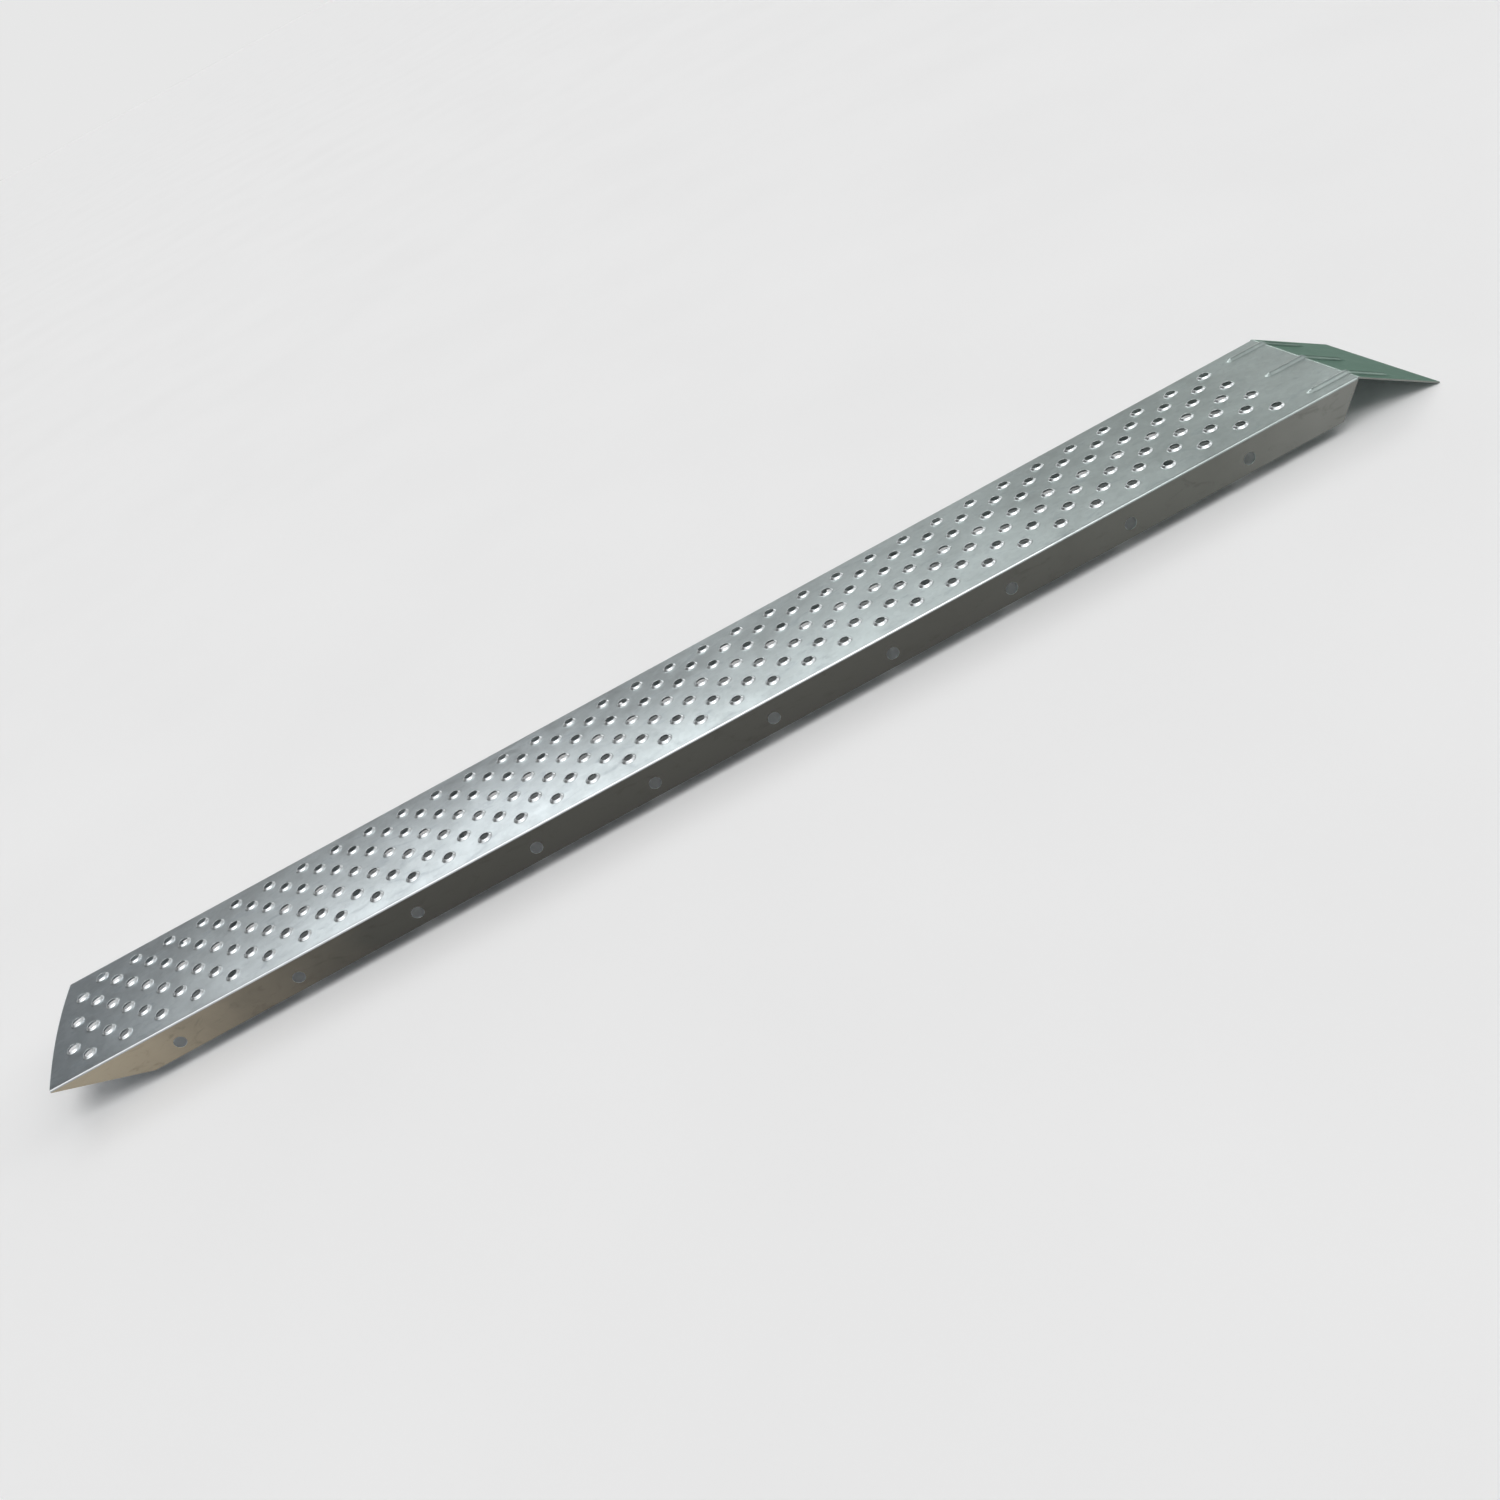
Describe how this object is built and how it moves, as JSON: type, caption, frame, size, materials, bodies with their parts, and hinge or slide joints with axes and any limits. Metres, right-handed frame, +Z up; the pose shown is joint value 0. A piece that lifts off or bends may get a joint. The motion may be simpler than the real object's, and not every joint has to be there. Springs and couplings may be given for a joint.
{
  "type": "loading ramp",
  "caption": "Folded steel loading ramp: crowned deck with raised anti-slip holes, side flanges with round holes, tapered foot and a lip bent down at the top.",
  "frame": {"origin": "centre of the bounding box on its bottom face, at the level of the lip's lowest edge", "axes": "+X along the ramp from the tapered foot to the lip, +Y across to the left flange, +Z up out of the deck"},
  "size_m": [1.9922, 0.23, 0.0732],
  "materials": {
    "galvanised_sheet": "galvanised, satin, lightly scuffed",
    "galvanised_bar": "galvanised, satin",
    "weld_metal": "galvanised over a weld bead"
  },
  "bodies": {
    "root": {"ramp_channel": "galvanised_sheet", "cross_brace_1": "galvanised_bar", "cross_brace_2": "galvanised_bar", "cross_brace_3": "galvanised_bar", "cross_brace_4": "galvanised_bar", "cross_brace_5": "galvanised_bar", "cross_brace_6": "galvanised_bar", "cross_brace_7": "galvanised_bar", "cross_brace_8": "galvanised_bar", "cross_brace_9": "galvanised_bar", "brace_welds_left": "weld_metal", "brace_welds_right": "weld_metal", "brace_welds_deck": "weld_metal"}
  },
  "joints": []
}
